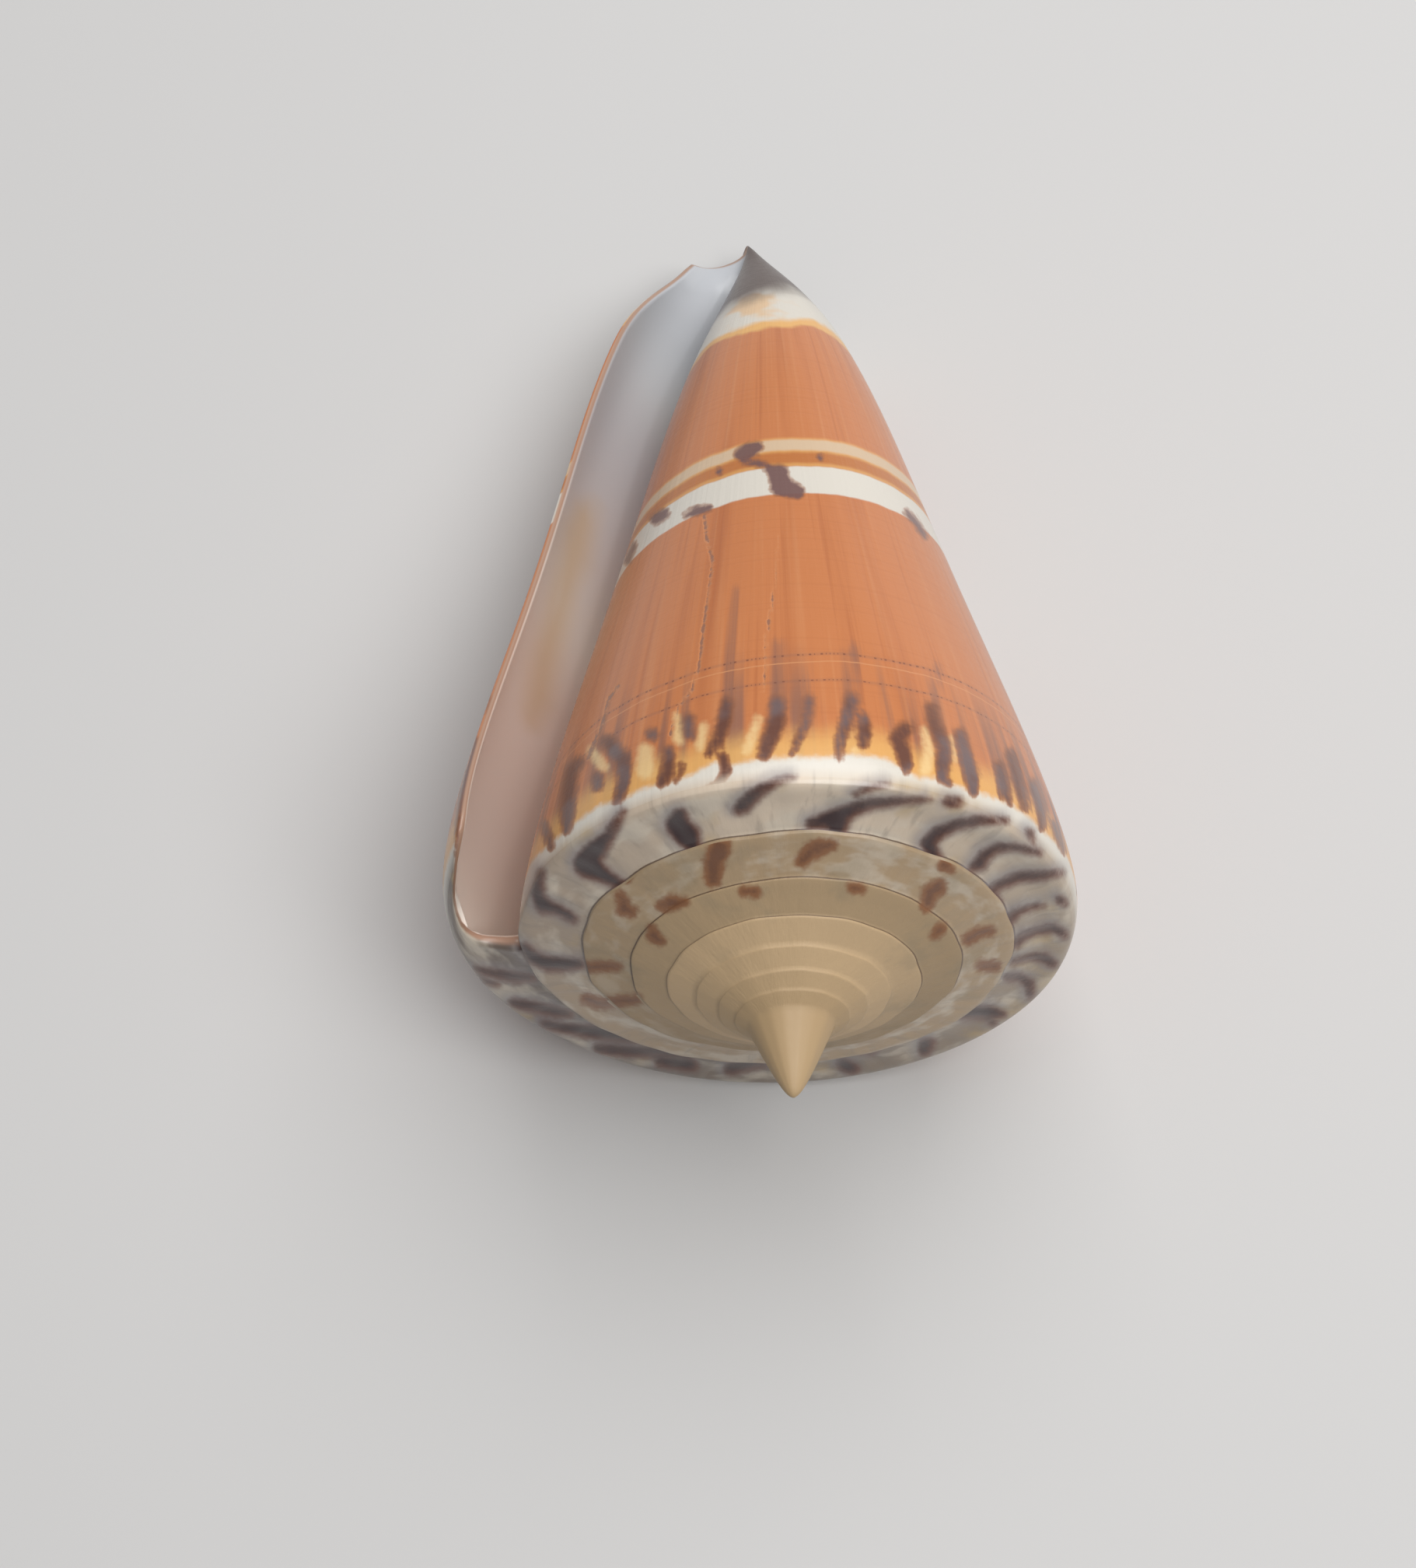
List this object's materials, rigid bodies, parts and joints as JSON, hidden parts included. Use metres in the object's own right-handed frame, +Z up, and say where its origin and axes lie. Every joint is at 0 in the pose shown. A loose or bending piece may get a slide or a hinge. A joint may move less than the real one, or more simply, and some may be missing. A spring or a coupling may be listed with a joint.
{
  "type": "cone shell",
  "caption": "Cone-shaped sea shell lying on its back, with a stepped pointed spire, a rounded shoulder and a long narrow opening.",
  "frame": {"origin": "on the small flat spot that the shell rests on, under its centre of mass", "axes": "+Z up, +Y towards the narrow end, -Y towards the spire, +X to the right when the spire faces the viewer"},
  "size_m": [0.0341, 0.0606, 0.032],
  "materials": {
    "shell": "smooth glossy porcelain-like shell, orange-brown with white bands and dark flames"
  },
  "bodies": {
    "root": {"shell": "shell"}
  },
  "joints": []
}
